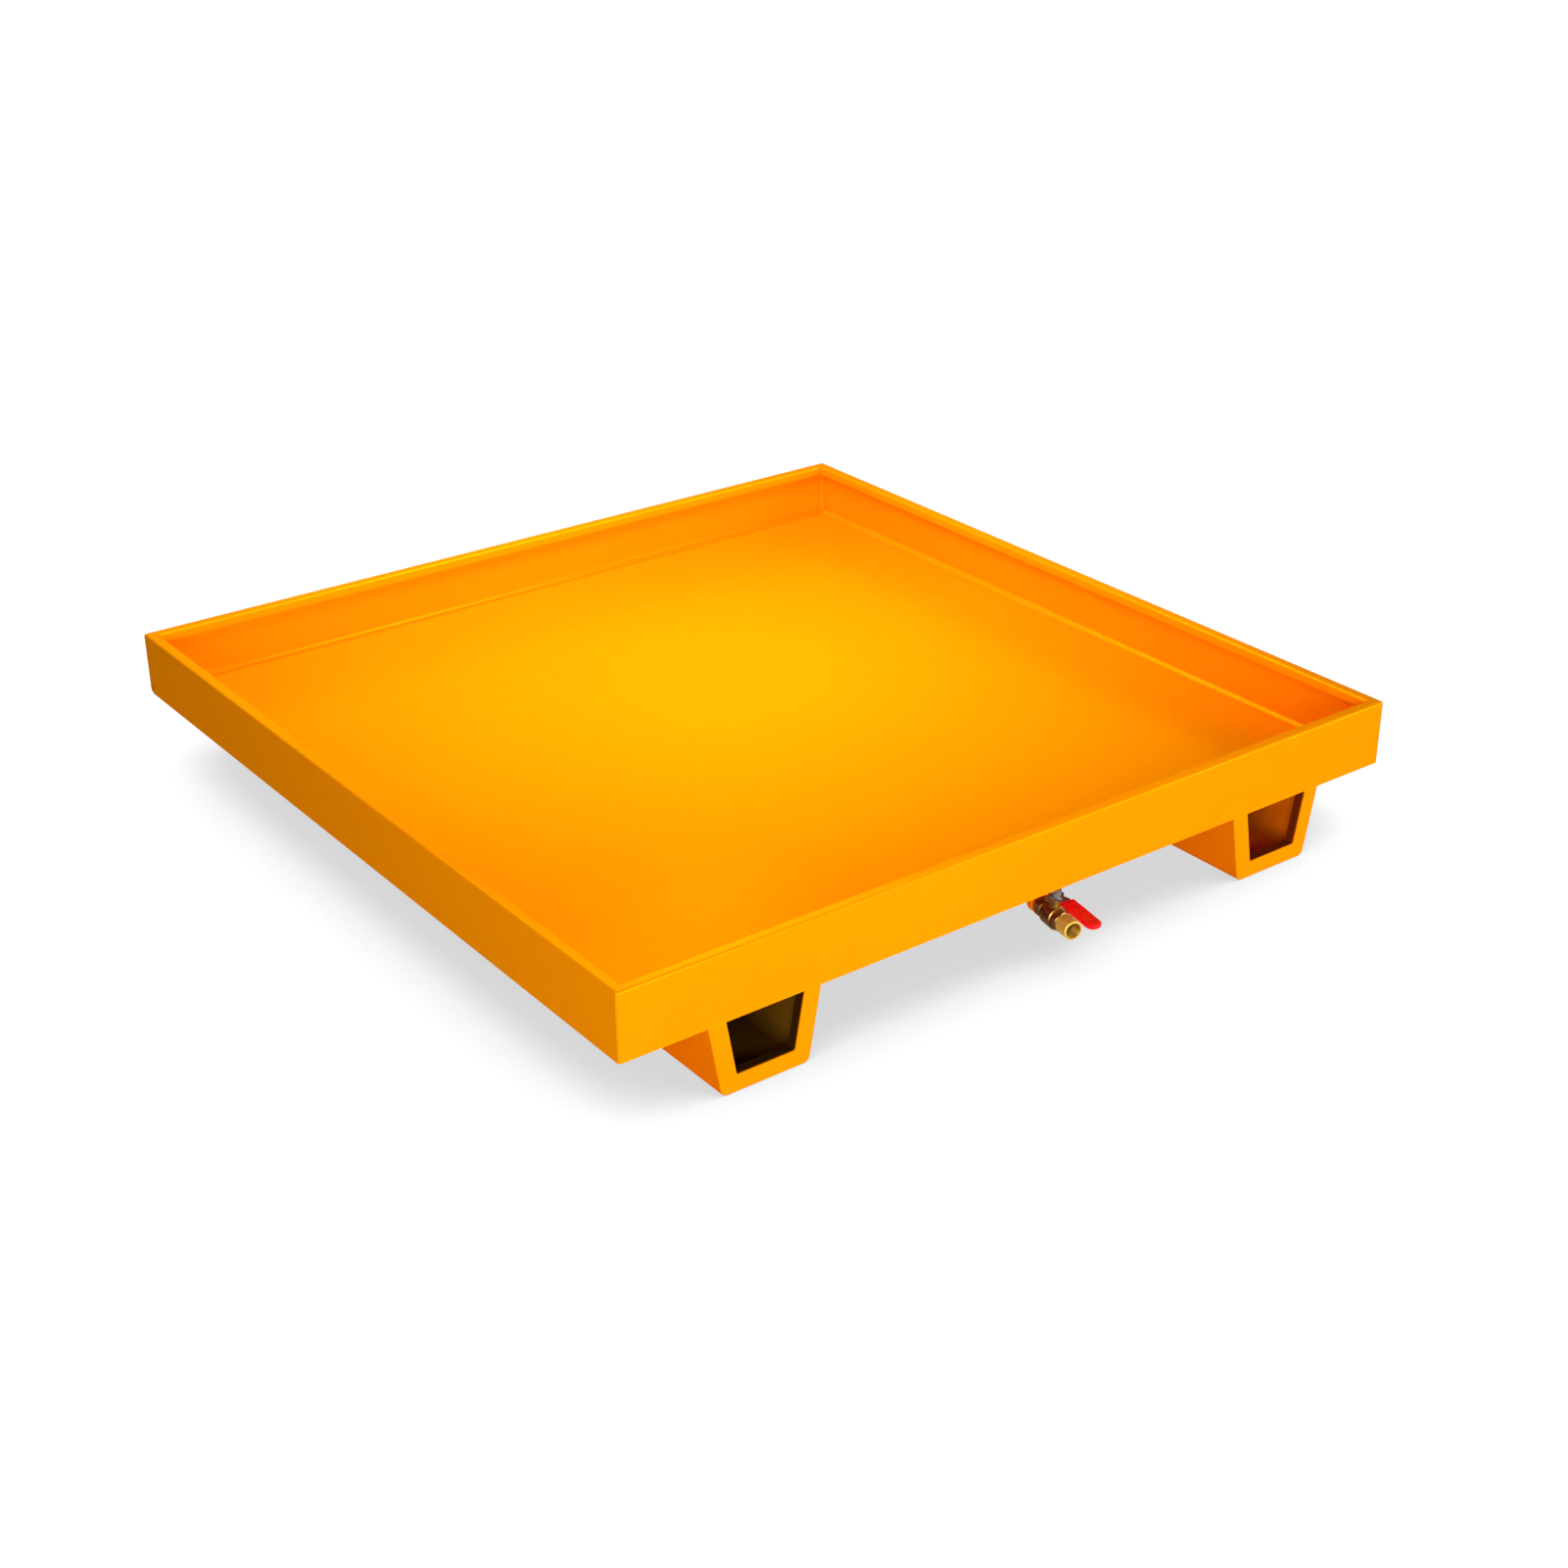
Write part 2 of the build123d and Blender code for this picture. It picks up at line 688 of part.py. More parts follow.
front_seam_weld = make_front_seam_weld()
left_seam_weld = make_left_seam_weld(front_seam_weld)
left_side_plate = make_left_side_plate()
nodes = {
    "floor_sheet": make_floor_sheet(),
    "front_plate": make_front_plate(),
    "left_side_plate": left_side_plate,
    "right_side_plate": mirror(left_side_plate, Plane.YZ),
    "front_seam_weld": front_seam_weld,
    "left_seam_weld": left_seam_weld,
    "right_seam_weld": mirror(left_seam_weld, Plane.YZ),
}

front_frame = make_foot_frame()
rear_frame = Pos(0, rear_foot_end - half_side, 0) * mirror(front_frame, Plane.XZ)
foot_pieces = {
    "foot_channel": make_foot_channel(),
    "foot_front_frame": front_frame,
    "foot_rear_frame": rear_frame,
    "foot_stitch_welds": make_foot_stitch_welds(),
}
for side_name, centre_x in (("left", -foot_centre_x), ("right", foot_centre_x)):
    for piece_name, piece in foot_pieces.items():
        nodes[f"{side_name}_{piece_name}"] = Pos(centre_x, 0, 0) * piece

lever_plate = make_lever_plate()
drain_pieces = {
    "drain_socket": make_drain_socket(),
    "drain_socket_weld": make_drain_socket_weld(),
    "drain_elbow": make_drain_elbow(),
    "valve_nipple": make_valve_nipple(),
    "valve_body": make_valve_body(),
    "valve_end_cap": make_valve_end_cap(),
    "inlet_seat_ring": make_seat_ring(-1),
    "outlet_seat_ring": make_seat_ring(1),
    "outlet_extension": make_outlet_extension(),
    "stem_thrust_washer": stem_ring(
        thrust_washer_bottom, thrust_washer_top, stem_collar_radius, stem_radius + running_clearance),
    "stem_packing_ring": stem_ring(
        packing_bottom, packing_top, packing_radius - thread_gap, stem_radius + running_clearance),
    "gland_nut": make_gland_nut(),
    "valve_ball": make_valve_ball(),
    "valve_stem": make_valve_stem(),
    "lever_plate": lever_plate,
    "lever_grip": make_lever_grip(lever_plate),
    "lever_washer": make_lever_washer(),
    "lever_nut": make_lever_nut(),
}
for piece_name, piece in drain_pieces.items():
    nodes[piece_name] = valve_place * piece

os.makedirs("parts", exist_ok=True)
for name, shape in nodes.items():
    export_step(row_place * shape, f"parts/{name}.step")
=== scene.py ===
"""Looks for the spill tray: powder-coated sheet steel, weld beads and the brass drain valve.

Metres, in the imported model's frame: +Z up, -Y the front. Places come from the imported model.
"""
import json
from math import atan2, cos, pi, radians, sin, sqrt

import bmesh
import bpy
from mathutils import Matrix, Vector, noise


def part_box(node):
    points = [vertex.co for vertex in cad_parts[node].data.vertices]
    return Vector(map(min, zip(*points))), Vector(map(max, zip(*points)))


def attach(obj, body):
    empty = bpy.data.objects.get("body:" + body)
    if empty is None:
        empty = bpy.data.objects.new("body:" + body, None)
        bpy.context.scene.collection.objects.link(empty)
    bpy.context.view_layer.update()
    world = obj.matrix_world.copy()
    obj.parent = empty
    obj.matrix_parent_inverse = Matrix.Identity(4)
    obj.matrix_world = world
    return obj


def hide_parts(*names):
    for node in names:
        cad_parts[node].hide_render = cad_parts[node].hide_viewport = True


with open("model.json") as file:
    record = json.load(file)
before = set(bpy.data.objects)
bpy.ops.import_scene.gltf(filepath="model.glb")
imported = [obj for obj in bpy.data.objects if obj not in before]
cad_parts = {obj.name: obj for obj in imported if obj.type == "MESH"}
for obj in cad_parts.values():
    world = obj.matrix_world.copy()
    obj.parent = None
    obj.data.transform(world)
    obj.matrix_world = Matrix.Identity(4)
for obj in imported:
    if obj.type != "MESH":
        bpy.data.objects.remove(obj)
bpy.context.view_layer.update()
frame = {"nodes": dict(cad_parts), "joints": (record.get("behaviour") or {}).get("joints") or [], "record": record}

MM = 0.001

# ---------------------------------------------------------------- sizes read from the frame

SHEET = 3.0 * MM
floor_low, floor_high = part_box("floor_sheet")
joint = frame["joints"][0]
outlet = next(m for m in frame["record"]["mounts"] if m["name"] == "drain_outlet")
stem_point = Vector(joint["pos_m"])
flow = Vector(outlet["axis"]).normalized()
flow_side = Vector((-flow.y, flow.x, 0.0))
flow_angle = atan2(flow.y, flow.x)
tray_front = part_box("front_plate")[0].y
tray_rear = floor_high.y
tray_bottom = floor_low.z
tray_middle = Vector((0.0, (tray_front + tray_rear) / 2, 0.0))

# ---------------------------------------------------------------- material building

SOCKETS = {"metallic": "Metallic", "specular": "Specular IOR Level", "tint": "Specular Tint"}
EDGE_SAMPLES = 6
EDGE_SHARP = 0.85
HOLLOW_SAMPLES = 6


class Recipe:
    """A node material under construction: each method adds nodes and gives back a socket."""

    def __init__(self, name):
        self.material = bpy.data.materials.new(name)
        self.material.use_nodes = True
        self.tree = self.material.node_tree
        self.shader = self.tree.nodes["Principled BSDF"]
        self.coords = self.tree.nodes.new("ShaderNodeTexCoord").outputs["Object"]

    def link(self, source, target):
        """Joins two sockets."""
        self.tree.links.new(source, target)

    def feed(self, socket, value):
        """Sets a socket to a number or colour, or links it."""
        if isinstance(value, bpy.types.NodeSocket):
            self.link(value, socket)
        else:
            socket.default_value = value

    def noise(self, scale, detail=4.0, roughness=0.5, coords=None):
        """Fractal noise from 0 to 1; the scale is in waves per metre."""
        node = self.tree.nodes.new("ShaderNodeTexNoise")
        node.inputs["Scale"].default_value = scale
        node.inputs["Detail"].default_value = detail
        node.inputs["Roughness"].default_value = roughness
        self.link(coords or self.coords, node.inputs["Vector"])
        return node.outputs["Fac"]

    def cells(self, scale):
        """Distance to the nearest of scattered points; the scale is in cells per metre."""
        node = self.tree.nodes.new("ShaderNodeTexVoronoi")
        node.inputs["Scale"].default_value = scale
        self.link(self.coords, node.inputs["Vector"])
        return node.outputs["Distance"]

    def span(self, value, low, high, to_low=0.0, to_high=1.0):
        """Maps a value from one range to another, clamped."""
        node = self.tree.nodes.new("ShaderNodeMapRange")
        self.feed(node.inputs["Value"], value)
        node.inputs["From Min"].default_value = low
        node.inputs["From Max"].default_value = high
        node.inputs["To Min"].default_value = to_low
        node.inputs["To Max"].default_value = to_high
        return node.outputs["Result"]

    def math(self, operation, a, b=0.0):
        """One math node."""
        node = self.tree.nodes.new("ShaderNodeMath")
        node.operation = operation
        self.feed(node.inputs[0], a)
        self.feed(node.inputs[1], b)
        return node.outputs[0]

    def blend(self, amount, a, b):
        """Mixes two colours."""
        node = self.tree.nodes.new("ShaderNodeMix")
        node.data_type = "RGBA"
        self.feed(node.inputs["Factor"], amount)
        self.feed(node.inputs["A"], a)
        self.feed(node.inputs["B"], b)
        return node.outputs["Result"]

    def axes(self, coords=None):
        """The x, y and z of the object coordinates, or of other ones."""
        node = self.tree.nodes.new("ShaderNodeSeparateXYZ")
        self.link(coords or self.coords, node.inputs[0])
        return node.outputs

    def joined(self, x, y, z):
        """A vector from three values."""
        node = self.tree.nodes.new("ShaderNodeCombineXYZ")
        self.feed(node.inputs[0], x)
        self.feed(node.inputs[1], y)
        self.feed(node.inputs[2], z)
        return node.outputs[0]

    def edges(self, radius):
        """0 on flat surfaces, rising to 1 on edges sharper than the radius."""
        bevel = self.tree.nodes.new("ShaderNodeBevel")
        bevel.samples = EDGE_SAMPLES
        bevel.inputs["Radius"].default_value = radius
        plain = self.tree.nodes.new("ShaderNodeNewGeometry").outputs["Normal"]
        dot = self.tree.nodes.new("ShaderNodeVectorMath")
        dot.operation = "DOT_PRODUCT"
        self.link(bevel.outputs["Normal"], dot.inputs[0])
        self.link(plain, dot.inputs[1])
        return self.span(dot.outputs["Value"], 1.0, EDGE_SHARP)

    def hollow(self, reach):
        """0 on open surfaces, rising to 1 deep in corners and under overhangs."""
        node = self.tree.nodes.new("ShaderNodeAmbientOcclusion")
        node.samples = HOLLOW_SAMPLES
        node.inputs["Distance"].default_value = reach
        return self.math("SUBTRACT", 1.0, node.outputs["AO"])

    def bump(self, height, distance, strength=1.0, under=None):
        """A normal bent by a height, on top of another bump if given."""
        node = self.tree.nodes.new("ShaderNodeBump")
        node.inputs["Strength"].default_value = strength
        node.inputs["Distance"].default_value = distance
        self.link(height, node.inputs["Height"])
        if under is not None:
            self.link(under, node.inputs["Normal"])
        return node.outputs["Normal"]

    def finish(self, colour, roughness, normal=None, **fixed):
        """Connects the shader and gives back the material. Fixed values sit on its own sockets."""
        self.feed(self.shader.inputs["Base Color"], colour)
        self.feed(self.shader.inputs["Roughness"], roughness)
        if normal is not None:
            self.link(normal, self.shader.inputs["Normal"])
        for socket, value in fixed.items():
            self.shader.inputs[SOCKETS[socket]].default_value = value
        return self.material


def rgb(red, green, blue):
    """A colour given as linear light."""
    return (red, green, blue, 1.0)


# ---------------------------------------------------------------- paint

PAINT = rgb(0.93, 0.276, 0.0004)
# Lighter colour: random mottle, and a painted highlight on edges.
PAINT_MOTTLE_AND_HIGHLIGHT = rgb(0.96, 0.36, 0.004)
PAINT_DEEP = rgb(0.90, 0.245, 0.0003)
# Painted shade in the inside of the rear fold.
FOLD_PAINTED_SHADE = rgb(0.82, 0.200, 0.0003)
# Painted shade for hollows and the underside.
PAINT_SHADED = rgb(0.93, 0.130, 0.0002)
PAINT_GLINT = rgb(1.0, 0.55, 0.12)
PAINT_FLAKE = 0.15
PAINT_EDGE = 1.6 * MM
SHADE_DEPTH = 200.0 * MM
SHADE_SHARE_BELOW = 0.66
SHADE_SHARE_ELSEWHERE = 0.07

# Foot tunnels: a dark colour for primer and painted shade, orange for overspray and painted light near the
# openings, and painted shade on the frames' inner lips.
TUNNEL_PRIMER_AND_SHADE = rgb(0.115, 0.060, 0.004)
TUNNEL_OVERSPRAY_AND_LIGHT = rgb(0.92, 0.175, 0.001)
TUNNEL_LIGHT_REACH = 700.0 * MM
TUNNEL_LIGHT_DEEP = 0.3
LEFT_TUNNEL_LIGHT = 0.08
RIGHT_LIP_SHADE = rgb(0.15, 0.018, 0.002)
LEFT_LIP_SHADE = rgb(0.030, 0.014, 0.002)
LIP_FADE = 0.5 * MM
FACE_KEPT = 0.6 * MM
FACE_FADE = 3.0 * MM

FOOT_AT = 424.0 * MM
FOOT_BOTTOM_HALF = 63.0 * MM
FOOT_SLOPE = 0.18
FOOT_BEND_INSET = 2.7 * MM
FOOT_BEND_TOP = 6.0 * MM
FOOT_FLOOR = SHEET - 0.4 * MM
FOLD_INSIDE = 12.0 * MM
FOLD_FADE = 4.0 * MM
fold_axis = Vector((0.0, tray_rear - SHEET - FOLD_INSIDE, tray_bottom + SHEET + FOLD_INSIDE))
foot_low, foot_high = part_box("left_foot_front_frame")
foot_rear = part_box("left_foot_rear_frame")[1].y


def product(r, *factors):
    """Multiplies any number of values."""
    result = factors[0]
    for factor in factors[1:]:
        result = r.math("MULTIPLY", result, factor)
    return result


def tunnel_mask(r):
    """1 on surfaces inside the two foot tunnels, behind the end frames' faces, and 0 outside."""
    x, y, z = r.axes()
    across = r.math("ABSOLUTE", r.math("SUBTRACT", r.math("ABSOLUTE", x), FOOT_AT))
    half = r.math("ADD", r.math("MULTIPLY", z, FOOT_SLOPE), FOOT_BOTTOM_HALF - SHEET / 2)
    half = r.math("ADD", half, r.span(z, FOOT_FLOOR, FOOT_BEND_TOP, -FOOT_BEND_INSET, 0.0))
    inside = r.math("LESS_THAN", across, half)
    below = r.math("LESS_THAN", z, tray_bottom + SHEET / 2)
    above = r.math("GREATER_THAN", z, FOOT_FLOOR)
    behind = r.span(y, foot_low.y + FACE_KEPT, foot_low.y + FACE_FADE)
    before = r.span(y, foot_rear - FACE_FADE, foot_rear - FACE_KEPT, 1.0, 0.0)
    return product(r, inside, below, above, behind, before)


def tunnel_primer_and_shade(r):
    """Dark primer and painted shade inside the tunnels, with orange overspray and painted light near the openings,
    less of it deeper in and in the left tunnel; the frames' inner lips are painted near black as shade.
    """
    x, y, z = r.axes()
    near_front = r.span(y, foot_low.y, foot_low.y + TUNNEL_LIGHT_REACH, 1.0, TUNNEL_LIGHT_DEEP)
    right = r.span(x, -0.1, 0.1, LEFT_TUNNEL_LIGHT, 1.0)
    patches = r.span(r.noise(scale=9.0, detail=3.0), 0.35, 0.65, 0.6, 1.0)
    walls = r.blend(product(r, near_front, right, patches), TUNNEL_PRIMER_AND_SHADE, TUNNEL_OVERSPRAY_AND_LIGHT)
    # Painted shade on the frames' inner lips, darkest in the left foot.
    front_lip = r.span(y, foot_high.y - LIP_FADE, foot_high.y + LIP_FADE, 1.0, 0.0)
    lip = r.blend(right, LEFT_LIP_SHADE, RIGHT_LIP_SHADE)
    return r.blend(front_lip, walls, lip)


def fold_shade_mask(r):
    """1 in the inside of the rear fold, which is painted darker there as painted shade."""
    x, y, z = r.axes()
    along = r.math("SUBTRACT", y, fold_axis.y)
    above = r.math("SUBTRACT", z, fold_axis.z)
    square = r.math("ADD", r.math("MULTIPLY", along, along), r.math("MULTIPLY", above, above))
    inner = r.math("LESS_THAN", r.math("SQRT", square), FOLD_INSIDE + SHEET / 2)
    behind = r.span(along, 0.0, FOLD_FADE)
    below = r.span(above, -FOLD_FADE, 0.0, 1.0, 0.0)
    return product(r, inner, behind, below)


def shade_share(r):
    """How much painted shade a surface takes in hollows, from ambient occlusion: most under the tray."""
    x, y, z = r.axes()
    low = r.math("LESS_THAN", z, tray_bottom + SHEET / 2)
    not_front = r.math("GREATER_THAN", y, tray_front + MM)
    share = r.span(product(r, low, not_front), 0.0, 1.0, SHADE_SHARE_ELSEWHERE, SHADE_SHARE_BELOW)
    return product(r, r.span(r.hollow(SHADE_DEPTH), 0.12, 0.85), share)


def make_paint(name, peel=1.0):
    """Semi-gloss powder coat: orange peel, slow colour drift, a painted highlight over edges, and painted shade in
    the rear fold, in hollows and in the foot tunnels.
    """
    r = Recipe(name)
    drift = r.span(r.noise(scale=1.7, detail=3.0), 0.3, 0.7)
    mottle = r.span(r.noise(scale=38.0, detail=5.0), 0.25, 0.75)
    colour = r.blend(r.math("MULTIPLY", drift, 0.5), PAINT, PAINT_DEEP)
    colour = r.blend(r.math("MULTIPLY", mottle, 0.16), colour, PAINT_MOTTLE_AND_HIGHLIGHT)
    # Painted highlight: lighter over edges.
    colour = r.blend(r.math("MULTIPLY", r.edges(PAINT_EDGE), 0.55), colour, PAINT_MOTTLE_AND_HIGHLIGHT)
    # Painted shade along the inside of the rear fold.
    colour = r.blend(fold_shade_mask(r), colour, FOLD_PAINTED_SHADE)
    # Painted shade in hollows, most under the tray.
    colour = r.blend(shade_share(r), colour, PAINT_SHADED)
    # Painted shade inside the foot tunnels, over dark primer.
    colour = r.blend(tunnel_mask(r), colour, tunnel_primer_and_shade(r))
    rough = r.math("ADD", r.span(r.noise(scale=9.0, detail=6.0), 0.3, 0.7, 0.18, 0.24),
                   r.span(r.noise(scale=420.0, detail=2.0), 0.3, 0.7, -0.02, 0.03))
    waves = r.bump(r.noise(scale=7.0, detail=2.0), 0.5 * MM, 0.35)
    peel_waves = r.bump(r.noise(scale=260.0, detail=2.0, roughness=0.4), 0.05 * MM, 0.5 * peel, waves)
    fine = r.bump(r.noise(scale=1400.0, detail=2.0), 0.008 * MM, 0.4, peel_waves)
    return r.finish(colour, rough, fine, metallic=PAINT_FLAKE, specular=0.0, tint=PAINT_GLINT)


# ---------------------------------------------------------------- metals and plastics

BRASS_DULL = rgb(0.46, 0.24, 0.06)
BRASS_STAIN = rgb(0.20, 0.080, 0.02)
BRASS_RUBBED = rgb(0.86, 0.62, 0.25)
BRASS_BRIGHT = rgb(0.96, 0.63, 0.11)
BRASS_WARM = rgb(0.84, 0.49, 0.07)
# Painted shade inside the outlet's bore.
BRASS_BORE_SHADE = rgb(0.24, 0.095, 0.006)
BRASS_METAL = 0.46
BRASS_GLOSS = 0.1
BORE_SHADE_SHARE = 0.9
ZINC_LIGHT = rgb(0.44, 0.42, 0.41)
ZINC_DARK = rgb(0.33, 0.31, 0.30)
ZINC_STAIN = rgb(0.30, 0.24, 0.17)
VINYL_RED = rgb(0.90, 0.008, 0.010)
VINYL_DEEP = rgb(0.76, 0.005, 0.007)
# Lighter red, a painted highlight along the sleeve's edges.
VINYL_EDGE_HIGHLIGHT = rgb(0.94, 0.03, 0.03)
VINYL_GLOSS = 0.12
PTFE_WHITE = rgb(0.80, 0.80, 0.78)
PTFE_GREY = rgb(0.72, 0.72, 0.70)
CHROME_LIGHT = rgb(0.78, 0.78, 0.80)
CHROME_DARK = rgb(0.70, 0.70, 0.71)
MOUTH_RADIUS = 10.3 * MM
flow_origin = Vector((stem_point.x, stem_point.y, sum(c.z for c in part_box("outlet_extension")) / 2))


def flow_coords(r):
    """Coordinates along the drain line: x along the flow, y across it, z up, from the stem."""
    shift = r.tree.nodes.new("ShaderNodeVectorMath")
    shift.operation = "SUBTRACT"
    shift.inputs[1].default_value = stem_point
    r.link(r.coords, shift.inputs[0])
    turn = r.tree.nodes.new("ShaderNodeVectorRotate")
    turn.rotation_type = "Z_AXIS"
    turn.inputs["Angle"].default_value = -flow_angle
    r.link(shift.outputs[0], turn.inputs["Vector"])
    return turn.outputs[0]


def make_forged_brass():
    """Tumbled brass forging: grainy, slightly tarnished, brighter on its edges."""
    r = Recipe("forged_brass")
    stain = r.span(r.noise(scale=120.0, detail=5.0, roughness=0.6), 0.35, 0.7)
    colour = r.blend(stain, BRASS_DULL, BRASS_STAIN)
    colour = r.blend(r.math("MULTIPLY", r.edges(0.5 * MM), 0.7), colour, BRASS_RUBBED)
    rough = r.span(r.noise(scale=300.0), 0.3, 0.7, 0.26, 0.46)
    grain = r.bump(r.noise(scale=2600.0, detail=3.0), 0.03 * MM, 0.5)
    dents = r.bump(r.noise(scale=240.0, detail=2.0), 0.12 * MM, 0.35, grain)
    return r.finish(colour, rough, dents, metallic=1.0)


def make_turned_brass():
    """Bright turned brass with fine tool marks round its axis, with painted shade inside its bore, where it is
    also rougher.
    """
    r = Recipe("turned_brass")
    x, y, z = r.axes(flow_coords(r))
    height = r.math("SUBTRACT", z, flow_origin.z - stem_point.z)
    radius = r.math("SQRT", r.math("ADD", r.math("MULTIPLY", y, y), r.math("MULTIPLY", height, height)))
    rings = r.noise(scale=4200.0, detail=2.0, coords=r.joined(x, radius, 0.0))
    stain = r.span(r.noise(scale=90.0), 0.35, 0.75)
    bore = r.span(radius, MOUTH_RADIUS + 0.2 * MM, MOUTH_RADIUS + 0.7 * MM, 1.0, 0.0)
    colour = r.blend(stain, BRASS_BRIGHT, BRASS_WARM)
    # Painted shade inside the bore.
    colour = r.blend(r.math("MULTIPLY", bore, BORE_SHADE_SHARE), colour, BRASS_BORE_SHADE)
    rough = r.math("ADD", r.span(rings, 0.3, 0.7, 0.26, 0.38), r.math("MULTIPLY", bore, 0.12))
    marks = r.bump(rings, 0.02 * MM, 0.35)
    return r.finish(colour, rough, marks, metallic=BRASS_METAL, specular=BRASS_GLOSS)


def make_zinc_steel():
    """Dulled zinc plate with faint spangle and brown stains."""
    r = Recipe("zinc_steel")
    colour = r.blend(r.span(r.cells(scale=900.0), 0.0, 0.8), ZINC_LIGHT, ZINC_DARK)
    stain = r.span(r.noise(scale=150.0), 0.4, 0.7)
    colour = r.blend(r.math("MULTIPLY", stain, 0.35), colour, ZINC_STAIN)
    rough = r.span(r.noise(scale=500.0), 0.3, 0.7, 0.32, 0.48)
    return r.finish(colour, rough, r.bump(r.noise(scale=1800.0, detail=3.0), 0.015 * MM, 0.4), metallic=1.0)


def make_red_vinyl():
    """Dip-moulded vinyl: soft gloss with a fine skin, slight colour drift and a painted highlight along its edges.
    """
    r = Recipe("red_vinyl")
    colour = r.blend(r.span(r.noise(scale=140.0), 0.3, 0.7), VINYL_RED, VINYL_DEEP)
    # Painted highlight: lighter red over edges.
    colour = r.blend(r.math("MULTIPLY", r.edges(0.8 * MM), 0.35), colour, VINYL_EDGE_HIGHLIGHT)
    rough = r.span(r.noise(scale=600.0, detail=3.0), 0.3, 0.7, 0.32, 0.44)
    skin = r.bump(r.noise(scale=1500.0, detail=3.0), 0.03 * MM, 0.35)
    waves = r.bump(r.noise(scale=180.0, detail=2.0), 0.12 * MM, 0.3, skin)
    return r.finish(colour, rough, waves, specular=VINYL_GLOSS)


def make_white_ptfe():
    """White fluoroplastic for the seats and packing."""
    r = Recipe("white_ptfe")
    colour = r.blend(r.span(r.noise(scale=300.0, detail=3.0), 0.3, 0.7), PTFE_WHITE, PTFE_GREY)
    rough = r.span(r.noise(scale=700.0), 0.3, 0.7, 0.4, 0.55)
    return r.finish(colour, rough, r.bump(r.noise(scale=2000.0), 0.01 * MM, 0.3))


def make_chromed_ball():
    """Polished chrome plate with hairline wear."""
    r = Recipe("chromed_ball")
    colour = r.blend(r.span(r.noise(scale=200.0), 0.3, 0.7), CHROME_LIGHT, CHROME_DARK)
    rough = r.span(r.noise(scale=900.0), 0.3, 0.7, 0.05, 0.12)
    return r.finish(colour, rough, r.bump(r.noise(scale=2500.0), 0.004 * MM, 0.3), metallic=1.0)


materials = {
    "orange_paint": make_paint("orange_paint"),
    "painted_weld": make_paint("painted_weld", 0.6),
    "forged_brass": make_forged_brass(),
    "turned_brass": make_turned_brass(),
    "zinc_steel": make_zinc_steel(),
    "red_vinyl": make_red_vinyl(),
    "white_ptfe": make_white_ptfe(),
    "chromed_ball": make_chromed_ball(),
}
slot_of = {s["node"]: s["material_slot"] for s in frame["record"]["subparts"]}


def dress(obj, slot):
    """Gives an object one material."""
    obj.data.materials.clear()
    obj.data.materials.append(materials[slot])


for node_name, node in frame["nodes"].items():
    dress(node, slot_of[node_name])


# ---------------------------------------------------------------- detail pieces

UP = Vector((0.0, 0.0, 1.0))
ACROSS = Vector((1.0, 0.0, 0.0))
BACK = Vector((0.0, 1.0, 0.0))
SMOOTH_BELOW = radians(38)
BEAD_PITCH = 5.0 * MM
BEAD_STEP = 1.1 * MM
BEAD_POINTS = 8
BEAD_CROWN = 0.85 * MM
BEAD_RIPPLE = 0.42 * MM
BEAD_DRIFT = 0.06
BEAD_DRIFT_LENGTH = 16.0 * MM
SEED_STEP = 7.3
BEAD_VALLEY = 0.6
CRESCENT = 0.42
TOE_SHARPNESS = 8
TOE_DEPTH = 0.25 * MM
FLOOR_LEG = 6.6 * MM
UPRIGHT_LEG = 4.2 * MM
STITCH_LEG = 5.0 * MM
STITCH_LENGTH = 50.0 * MM
STITCH_PITCH = 270.0 * MM
STITCH_COUNT = 5
STITCH_NOSE = 4.0 * MM
STITCH_TIP = 0.4 * MM
front_seam_low, front_seam_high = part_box("front_seam_weld")
wall_x = front_seam_high.x
wall_front = front_seam_low.y
wall_rear = tray_rear - SHEET
floor_top = tray_bottom + SHEET
upright_top = front_seam_high.z


def new_piece(name, points, faces, slot, body, replaced):
    """Makes a closed mesh piece with outward faces, dresses it and lets it ride on its body."""
    mesh = bpy.data.meshes.new(name)
    mesh.from_pydata([tuple(p) for p in points], [], faces)
    build = bmesh.new()
    build.from_mesh(mesh)
    bmesh.ops.recalc_face_normals(build, faces=build.faces)
    for face in build.faces:
        face.smooth = True
    for edge in build.edges:
        edge.smooth = len(edge.link_faces) == 2 and edge.calc_face_angle() < SMOOTH_BELOW
    build.to_mesh(mesh)
    build.free()
    piece = bpy.data.objects.new(name, mesh)
    bpy.context.scene.collection.objects.link(piece)
    dress(piece, slot)
    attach(piece, body)
    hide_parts(replaced)
    return piece


def skin(rows, closed=False):
    """Faces over rows of points, each row a closed loop; open ends are capped."""
    count = len(rows[0])
    points = [p for row in rows for p in row]
    last = len(rows) if closed else len(rows) - 1
    faces = []
    for i in range(last):
        here = i * count
        there = (i + 1) % len(rows) * count
        for k in range(count):
            n = (k + 1) % count
            faces.append((here + k, here + n, there + n, there + k))
    if not closed:
        faces.append(tuple(range(count)))
        faces.append(tuple(range(len(points) - count, len(points))))
    return points, faces


def run(start, end, step):
    """Evenly spaced points from start to end."""
    count = max(2, round((end - start).length / step) + 1)
    return [start.lerp(end, i / (count - 1)) for i in range(count)]


